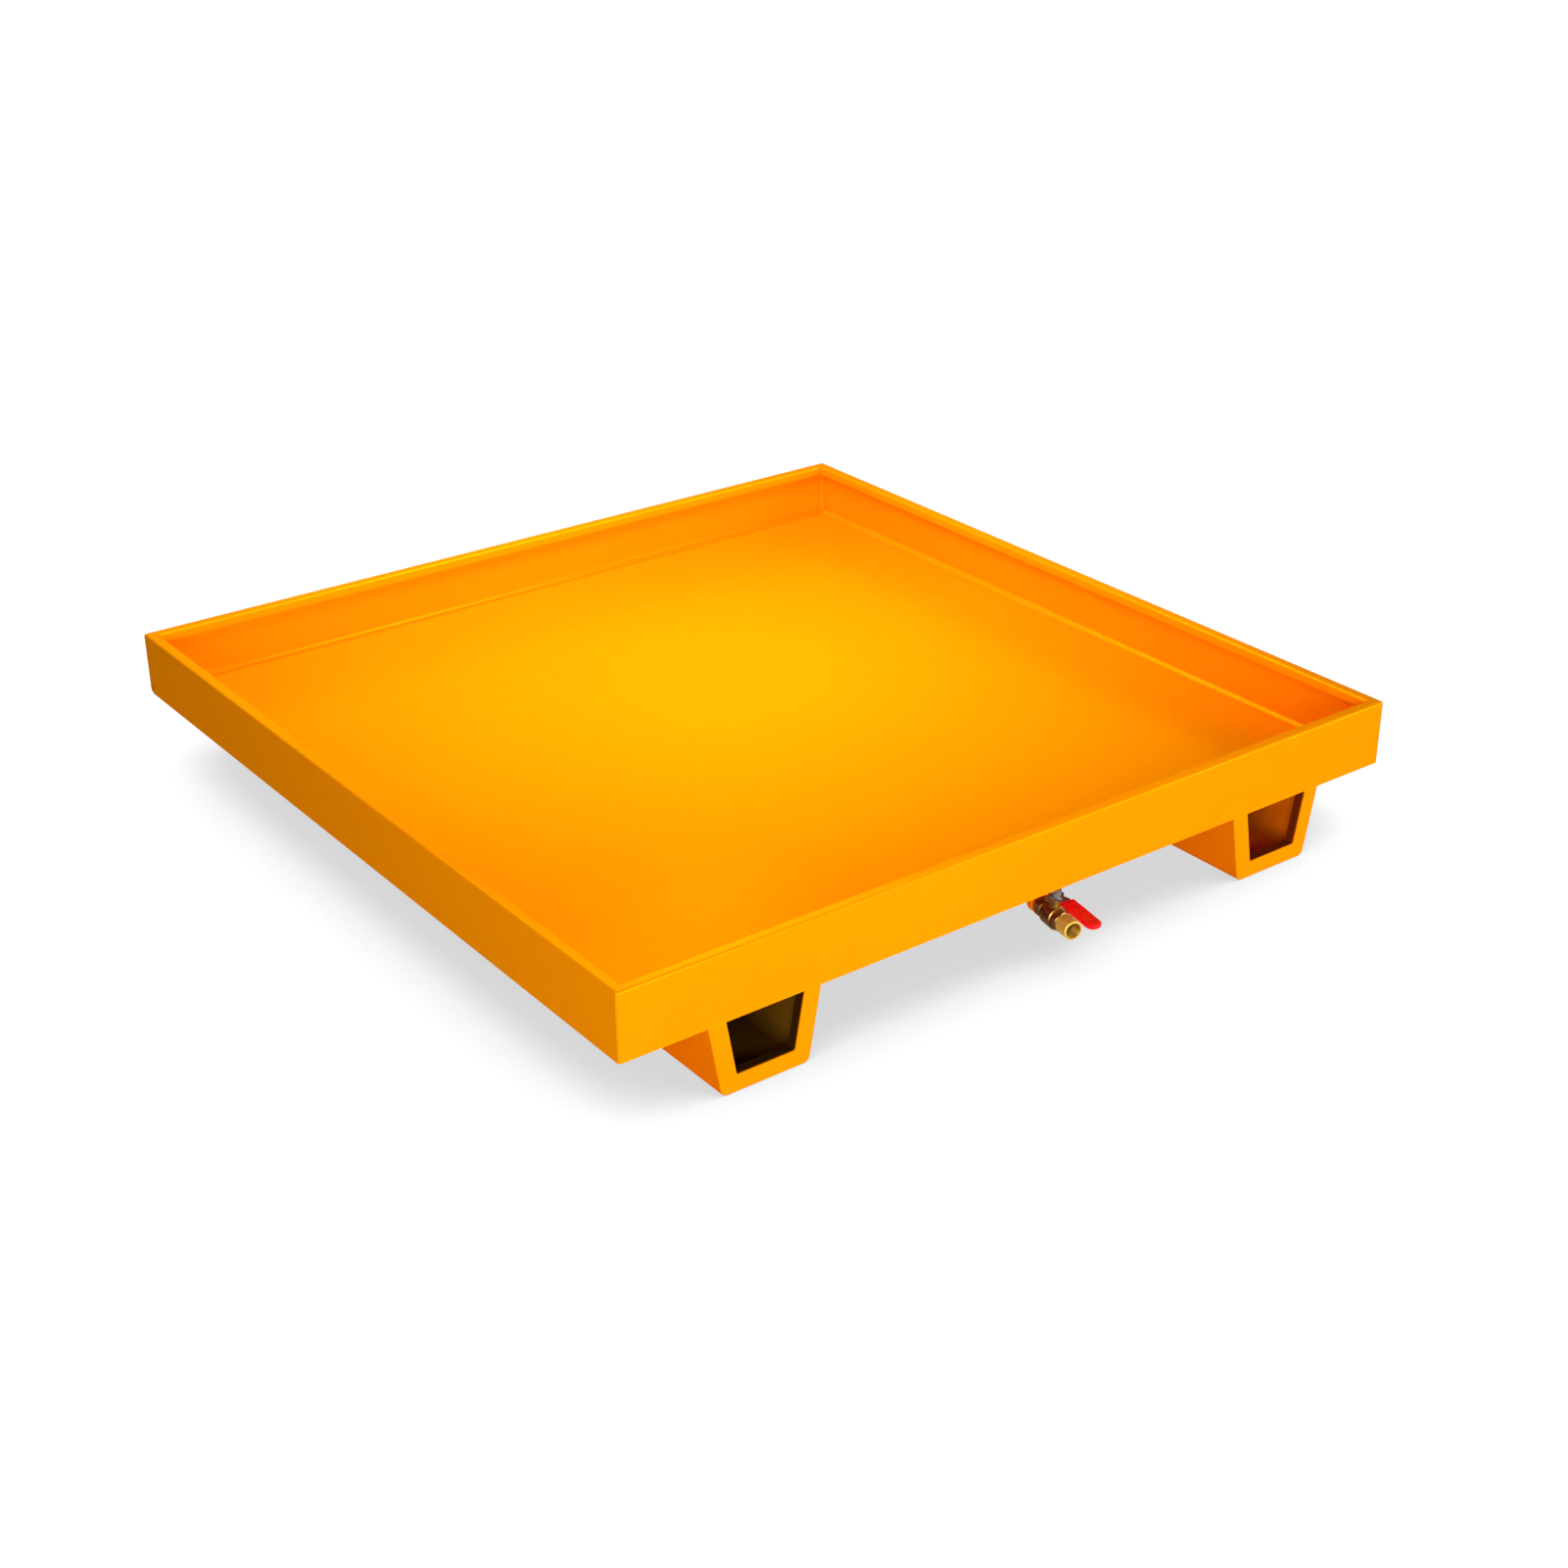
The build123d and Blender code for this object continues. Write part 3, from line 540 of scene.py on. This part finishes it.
def bead_rows(stations, seed, closed=False):
    """Sections of a fillet bead. A station is its corner point, its two leg directions and its leg."""
    total = sum((b[0] - a[0]).length for a, b in zip(stations, stations[1:]))
    if closed:
        total += (stations[0][0] - stations[-1][0]).length
    pitch = total / max(1, round(total / BEAD_PITCH))
    travelled = 0.0
    rows = []
    for i, (corner, a, b, leg) in enumerate(stations):
        if i:
            travelled += (corner - stations[i - 1][0]).length
        out = (a + b).normalized()
        drift = 1.0
        if not closed:
            drift += BEAD_DRIFT * noise.noise(Vector((travelled / BEAD_DRIFT_LENGTH, seed, 0.0)))
        row = [corner - (a + b) * TOE_DEPTH]
        for k in range(BEAD_POINTS):
            t = k / (BEAD_POINTS - 1)
            across = 2 * t - 1
            arch = 1 - across * across
            scale = abs(sin(pi * (travelled / pitch + CRESCENT * across * across)))
            rise = BEAD_CROWN * arch + BEAD_RIPPLE * (scale - BEAD_VALLEY) * sqrt(arch)
            point = corner + (a * (1 - t) + b * t) * leg * drift + out * rise
            toe = b * max(0.0, -across) ** TOE_SHARPNESS + a * max(0.0, across) ** TOE_SHARPNESS
            point -= toe * TOE_DEPTH
            row.append(point)
        rows.append(row)
    return rows


def make_bead(name, runs, closed=False):
    """One weld piece from one or more runs of stations."""
    points = []
    faces = []
    for seed, stations in enumerate(runs):
        more_points, more_faces = skin(bead_rows(stations, seed * SEED_STEP, closed), closed)
        faces += [tuple(i + len(points) for i in face) for face in more_faces]
        points += more_points
    return new_piece(name + "_bead", points, faces, "painted_weld", "root", name)


def front_seam_runs():
    """Along the floor behind the front plate, then up its two corners."""
    start = Vector((-wall_x - TOE_DEPTH, wall_front, floor_top))
    end = Vector((wall_x + TOE_DEPTH, wall_front, floor_top))
    runs = [[(p, BACK, UP, FLOOR_LEG) for p in run(start, end, BEAD_STEP)]]
    for side in (-1, 1):
        low = Vector((side * wall_x, wall_front, floor_top))
        high = Vector((side * wall_x, wall_front, upright_top))
        runs.append([(p, -side * ACROSS, BACK, UPRIGHT_LEG) for p in run(low, high, BEAD_STEP)])
    return runs


def side_seam_runs(side):
    """Along the floor beside a side plate, round the rear fold and up the rear corner."""
    inward = -side * ACROSS
    start = Vector((side * wall_x, wall_front - TOE_DEPTH, floor_top))
    fold_start = Vector((side * wall_x, fold_axis.y, floor_top))
    stations = [(p, inward, UP, FLOOR_LEG) for p in run(start, fold_start, BEAD_STEP)]
    steps = round(FOLD_INSIDE * pi / 2 / BEAD_STEP)
    for i in range(1, steps + 1):
        angle = pi / 2 * i / steps
        spoke = Vector((0.0, sin(angle), -cos(angle)))
        point = Vector((side * wall_x, fold_axis.y, fold_axis.z)) + spoke * FOLD_INSIDE
        leg = FLOOR_LEG + (UPRIGHT_LEG - FLOOR_LEG) * i / steps
        stations.append((point, inward, -spoke, leg))
    low = Vector((side * wall_x, wall_rear, fold_axis.z))
    high = Vector((side * wall_x, wall_rear, upright_top))
    stations += [(p, inward, -BACK, UPRIGHT_LEG) for p in run(low, high, BEAD_STEP)[1:]]
    return [stations]


def stitch_runs(side):
    """Short beads along both walls of a foot, under the tray."""
    half = FOOT_BOTTOM_HALF + FOOT_SLOPE * tray_bottom
    runs = []
    for wall in (-1, 1):
        down = Vector((-wall * FOOT_SLOPE, 0.0, -1.0)).normalized()
        for index in range(STITCH_COUNT):
            middle = tray_middle.y + (index - (STITCH_COUNT - 1) / 2) * STITCH_PITCH
            x = side * FOOT_AT + wall * half
            start = Vector((x, middle - STITCH_LENGTH / 2, tray_bottom))
            end = Vector((x, middle + STITCH_LENGTH / 2, tray_bottom))
            stations = []
            for p in run(start, end, BEAD_STEP):
                nose = min(1.0, (min(p.y - start.y, end.y - p.y) + STITCH_TIP) / STITCH_NOSE)
                stations.append((p, wall * ACROSS, down, STITCH_LEG * sqrt(nose * (2 - nose))))
            runs.append(stations)
    return runs


def socket_ring():
    """Fillet ring between the drain socket and the underside."""
    low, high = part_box("drain_socket")
    centre = (low + high) / 2
    radius = (high.x - low.x) / 2
    steps = round(2 * pi * radius / BEAD_STEP)
    stations = []
    for i in range(steps):
        angle = 2 * pi * i / steps
        spoke = Vector((cos(angle), sin(angle), 0.0))
        point = Vector((centre.x, centre.y, tray_bottom)) + spoke * radius
        stations.append((point, spoke, -UP, STITCH_LEG))
    return [stations]


make_bead("front_seam_weld", front_seam_runs())
make_bead("left_seam_weld", side_seam_runs(-1))
make_bead("right_seam_weld", side_seam_runs(1))
make_bead("left_foot_stitch_welds", stitch_runs(-1))
make_bead("right_foot_stitch_welds", stitch_runs(1))
make_bead("drain_socket_weld", socket_ring(), closed=True)

AROUND = 96
THREAD_PITCH = 1.814 * MM
THREAD_DEPTH = 1.16 * MM
THREAD_CREST = 9.3 * MM
THREAD_START = 29.6 * MM
THREAD_END = 43.6 * MM
THREAD_FADE = 1.5 * MM
THREAD_ROWS = 64
BORE = 7.0 * MM
SPIGOT = 9.25 * MM
SPIGOT_START = 14.0 * MM
SHOULDER = 22.0 * MM
EXTENSION_RADIUS = 13.0 * MM
EXTENSION_END = 44.6 * MM
BREAK = 1.5 * MM
BREAK_STEPS = 6
CHAMFER = 0.4 * MM


def flow_point(along, across, up):
    """A point given along the flow, across it and up, from the stem on the flow's own level."""
    return flow_origin + flow * along + flow_side * across + UP * up


def outlet_profile():
    """Outer and mouth outline of the outlet piece as (along, radius) rows, out and back in."""
    outer = [(SPIGOT_START, BORE), (SPIGOT_START, SPIGOT - CHAMFER), (SPIGOT_START + CHAMFER, SPIGOT),
             (SHOULDER, SPIGOT), (SHOULDER, EXTENSION_RADIUS - BREAK)]
    for i in range(1, BREAK_STEPS + 1):
        angle = pi / 2 * i / BREAK_STEPS
        outer.append((SHOULDER + BREAK * (1 - cos(angle)), EXTENSION_RADIUS - BREAK * (1 - sin(angle))))
    for i in range(BREAK_STEPS + 1):
        angle = pi / 2 * i / BREAK_STEPS
        outer.append((EXTENSION_END - BREAK * (1 - sin(angle)), EXTENSION_RADIUS - BREAK * (1 - cos(angle))))
    return outer


def make_outlet():
    """Turned outlet piece with a female pipe thread cut as a real helix."""
    rows = []

    def ring(along, radius_at):
        row = []
        for k in range(AROUND):
            angle = 2 * pi * k / AROUND
            radius = radius_at(angle)
            row.append(flow_point(along, radius * cos(angle), radius * sin(angle)))
        rows.append(row)

    def wave(turn):
        """0 at a thread's crest, 1 at its root."""
        return 0.5 - 0.5 * cos(2 * pi * turn)

    for along, radius in outlet_profile():
        ring(along, lambda angle, radius=radius: radius)
    ring(EXTENSION_END, lambda angle: MOUTH_RADIUS)
    for i in range(THREAD_ROWS + 1):
        along = THREAD_END + (THREAD_START - THREAD_END) * i / THREAD_ROWS
        if i == 0:
            along = THREAD_END + BREAK * 0.5
        mouth = max(0.0, along - THREAD_END) + THREAD_CREST
        fade = min(1.0, (along - THREAD_START) / THREAD_FADE)

        def thread(angle, along=along, mouth=mouth, fade=fade):
            turn = along / THREAD_PITCH - angle / (2 * pi)
            return max(mouth, THREAD_CREST + THREAD_DEPTH * fade * wave(turn))

        ring(along, thread)
    ring(THREAD_START, lambda angle: BORE)
    points, faces = skin(rows, closed=True)
    return new_piece("outlet_piece", points, faces, "turned_brass", "root", "outlet_extension")


make_outlet()

GRIP_START = 27.0 * MM
GRIP_END = 96.9 * MM
GRIP_HALF = 11.0 * MM
GRIP_THICK = 3.6 * MM
GRIP_ROWS = 84
GRIP_SIDE = 7
GRIP_FLAT = 22
PANEL_START = 36.0 * MM
PANEL_END = 88.0 * MM
PANEL_HALF = 6.2 * MM
PANEL_DEPTH = 0.55 * MM
PANEL_EDGE = 0.9 * MM
HEM = 2.2 * MM
HEM_RISE = 0.5 * MM
GRIP_CROWDING = 1.6
NOSE_POWER = 2.3
NOSE_LEAST = 0.05
NECK = 0.93
NECK_LENGTH = 25.0 * MM
MOUTH_SHARE = 0.80
MOUTH_LENGTH = 1.2 * MM
MOUTH_WIDTH_SHARE = 0.96
NOSE_THINNEST = 0.35
CORNER_REACH = 2.6 * MM
CORNER_DROP = 0.55
SIDE_HEIGHT = 0.45
SIDE_BULGE = 0.25 * MM


def soft_step(value):
    """0 below 0, 1 above 1, smooth between."""
    value = min(1.0, max(0.0, value))
    return value * value * (3 - 2 * value)


def lever_point(along, across, height):
    """A point on the lever, given along it from the stem, across it and by its height."""
    plan = Vector((stem_point.x, stem_point.y, 0.0)) + flow * along + flow_side * across
    return Vector((plan.x, plan.y, height))


def grip_outline():
    """Section of the sleeve as (across, up) on a unit round-sided bar, top first."""
    outline = []
    for k in range(GRIP_FLAT):
        outline.append((-1 + 2 * k / (GRIP_FLAT - 1), 1.0))
    for k in range(1, GRIP_SIDE):
        outline.append((1.0, 1 - 2 * k / GRIP_SIDE))
    for k in range(GRIP_FLAT):
        outline.append((1 - 2 * k / (GRIP_FLAT - 1), -1.0))
    for k in range(1, GRIP_SIDE):
        outline.append((-1.0, -1 + 2 * k / GRIP_SIDE))
    return outline


def make_grip():
    """Dip-moulded sleeve: soft edges, a hem at its open end, a shallow field on both faces."""
    low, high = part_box("lever_grip")
    level = (low.z + high.z) / 2
    rows = []
    for i in range(GRIP_ROWS + 1):
        share = i / GRIP_ROWS
        along = GRIP_START + (GRIP_END - GRIP_START) * (1 - (1 - share) ** GRIP_CROWDING)
        to_end = GRIP_END - along
        width = 1.0
        if to_end < GRIP_HALF:
            width = sqrt(max(0.0, 1 - (1 - to_end / GRIP_HALF) ** NOSE_POWER))
        width = max(width, NOSE_LEAST)
        narrow = NECK + (1 - NECK) * soft_step((along - GRIP_START) / NECK_LENGTH)
        start = MOUTH_SHARE + (1 - MOUTH_SHARE) * soft_step((along - GRIP_START) / MOUTH_LENGTH)
        hem = soft_step(1 - abs(along - GRIP_START - HEM / 2) / (HEM / 2)) * HEM_RISE
        thick = GRIP_THICK * (NOSE_THINNEST + (1 - NOSE_THINNEST) * sqrt(width)) * start
        half = GRIP_HALF * width * narrow * (MOUTH_WIDTH_SHARE + (1 - MOUTH_WIDTH_SHARE) * start)
        row = []
        for u, v in grip_outline():
            x = u * half
            z = v * thick
            if abs(v) == 1.0:
                corner = soft_step((abs(x) - (half - CORNER_REACH)) / CORNER_REACH)
                z -= v * corner * thick * CORNER_DROP
                field = soft_step((PANEL_HALF - abs(x)) / PANEL_EDGE)
                field *= soft_step((along - PANEL_START) / PANEL_EDGE)
                field *= soft_step((PANEL_END - along) / PANEL_EDGE)
                z += v * (hem - field * PANEL_DEPTH)
            else:
                z = v * thick * SIDE_HEIGHT
                x = u * (half + SIDE_BULGE * (1 - v * v))
            row.append(lever_point(along, x, level + z))
        rows.append(row)
    points, faces = skin(rows)
    piece = new_piece("grip_sleeve", points, faces, "red_vinyl", "lever_and_ball", "lever_grip")
    smooth = piece.modifiers.new("soft", "SUBSURF")
    smooth.levels = 1
    smooth.render_levels = 1
    return piece


make_grip()


# ---------------------------------------------------------------- camera, floor and light

CAMERA_LENS = 55.005
CAMERA_SENSOR = 36.0
CAMERA_OFFSET = Vector((-1.8083, -2.5081, 1.5557))
CAMERA_YAW = radians(36.846)
CAMERA_PITCH = radians(26.616)
CAMERA_ROLL = radians(-0.196)


def look(position, yaw, pitch, roll):
    """Camera matrix: yaw clockwise from +Y, pitch below the horizon, roll about the view."""
    turn = Matrix.Rotation(-yaw, 4, "Z") @ Matrix.Rotation(pi / 2 - pitch, 4, "X")
    return Matrix.Translation(position) @ turn @ Matrix.Rotation(roll, 4, "Z")


camera_data = bpy.data.cameras.new("camera")
camera_data.lens = CAMERA_LENS
camera_data.sensor_width = CAMERA_SENSOR
camera = bpy.data.objects.new("camera", camera_data)
bpy.context.scene.collection.objects.link(camera)
camera.matrix_world = look(tray_middle + CAMERA_OFFSET, CAMERA_YAW, CAMERA_PITCH, CAMERA_ROLL)
bpy.context.scene.camera = camera

FLOOR_REACH = 30.0
FLOOR_GREY = 0.54
FLOOR_VARIATION = 1.04
PAPER_WHITE = 1.03
PAPER_SHADE = 0.67
SHADE_REACH = 0.9
SHADE_FULL = 0.27
SHADE_NONE = 0.65
SHADE_SAMPLES = 16
BOUNCE_LEVEL = -2.0 * MM


def flat_sheet(name, height, material):
    """Large horizontal square of studio floor."""
    mesh = bpy.data.meshes.new(name)
    r = FLOOR_REACH
    corners = [(-r, -r, height), (r, -r, height), (r, r, height), (-r, r, height)]
    mesh.from_pydata(corners, [], [(0, 1, 2, 3)])
    mesh.materials.append(material)
    sheet = bpy.data.objects.new(name, mesh)
    bpy.context.scene.collection.objects.link(sheet)
    return sheet


def make_paper():
    """Pale self-lit paper with a painted shadow, greyer where the object hides the sky above it."""
    r = Recipe("studio_paper")
    occlusion = r.tree.nodes.new("ShaderNodeAmbientOcclusion")
    occlusion.inputs["Distance"].default_value = SHADE_REACH
    occlusion.samples = SHADE_SAMPLES
    tone = r.span(occlusion.outputs["AO"], SHADE_FULL, SHADE_NONE, PAPER_SHADE, PAPER_WHITE)
    grain = r.span(r.noise(scale=90.0, detail=3.0), 0.3, 0.7, 0.995, 1.005)
    glow = r.tree.nodes.new("ShaderNodeEmission")
    r.link(r.math("MULTIPLY", tone, grain), glow.inputs["Strength"])
    r.link(glow.outputs[0], r.tree.nodes["Material Output"].inputs["Surface"])
    return r.material


def make_bounce():
    """Matt grey ground that sends some light back up."""
    r = Recipe("studio_bounce")
    grey = rgb(FLOOR_GREY, FLOOR_GREY, FLOOR_GREY)
    lighter = rgb(*[FLOOR_GREY * FLOOR_VARIATION] * 3)
    return r.finish(r.blend(r.noise(scale=2.0), grey, lighter), 1.0, specular=0.0)


paper = flat_sheet("studio_paper", 0.0, make_paper())
paper.visible_diffuse = False
paper.visible_glossy = False
paper.visible_transmission = False
paper.visible_shadow = False
bounce = flat_sheet("studio_bounce", BOUNCE_LEVEL, make_bounce())
bounce.visible_camera = False

# The white surround is seen by the camera and in reflections, and lights nothing
world = bpy.data.worlds.new("studio")
bpy.context.scene.world = world
world.use_nodes = True
background = world.node_tree.nodes["Background"]
background.inputs["Color"].default_value = rgb(1.0, 1.0, 1.0)
background.inputs["Strength"].default_value = PAPER_WHITE
world.cycles_visibility.diffuse = False
world.cycles_visibility.glossy = True
world.cycles_visibility.transmission = False
world.cycles_visibility.scatter = False

LIGHT_LEVEL = 1.09


def soft_light(name, position, target, size, power):
    """Square area light aimed at a point, itself out of sight."""
    data = bpy.data.lights.new(name, "AREA")
    data.size = size
    data.energy = power * LIGHT_LEVEL
    light = bpy.data.objects.new(name, data)
    bpy.context.scene.collection.objects.link(light)
    light.location = position
    light.rotation_mode = "QUATERNION"
    light.rotation_quaternion = (Vector(target) - Vector(position)).to_track_quat("-Z", "Y")
    light.visible_camera = False
    return light


# Panels close above the basin, then soft boxes round the object: place, target, size, watts
soft_light("basin_middle", (0.0, 0.16, 0.85), (0.0, 0.16, 0.0), 0.6, 1.0)
soft_light("basin_low", (0.0, 0.10, 0.6), (0.0, 0.10, 0.0), 0.5, 0.58)
soft_light("basin_far", (0.15, 0.42, 0.8), (0.15, 0.42, 0.0), 0.5, 1.6)
soft_light("basin_rear", (0.0, 0.4, 0.95), (0.0, 0.35, 0.0), 0.6, 1.56)
soft_light("basin_rear_left", (-0.3, 0.4, 0.95), (-0.3, 0.35, 0.0), 0.6, 5.1)
soft_light("basin_right", (0.38, 0.17, 0.95), (0.36, 0.17, 0.0), 0.6, 4.4)
soft_light("front_near", (0.0, -2.6, 0.5), (0.0, 0.0, 0.14), 1.2, 33.9)
soft_light("front_left", (-2.9, -2.9, 0.9), (0.0, 0.0, 0.1), 2.0, 105.7)
soft_light("front_right", (2.9, -2.9, 0.9), (0.0, 0.0, 0.1), 2.0, 60.0)
soft_light("left", (-4.0, -0.7, 0.9), (0.0, 0.0, 0.1), 2.0, 10.5)
soft_light("right", (4.0, 0.0, 0.55), (0.0, 0.0, 0.14), 1.1, 23.8)
soft_light("rear_low", (0.0, 4.2, 0.55), (0.0, 0.0, 0.14), 1.1, 29.7)
soft_light("rear", (0.0, 4.0, 2.8), (0.0, 0.0, 0.1), 2.0, 12.0)
soft_light("rear_right", (2.9, 2.9, 2.8), (0.0, 0.0, 0.1), 2.0, 9.5)

view = bpy.context.scene.view_settings
view.view_transform = "Standard"
view.look = "None"
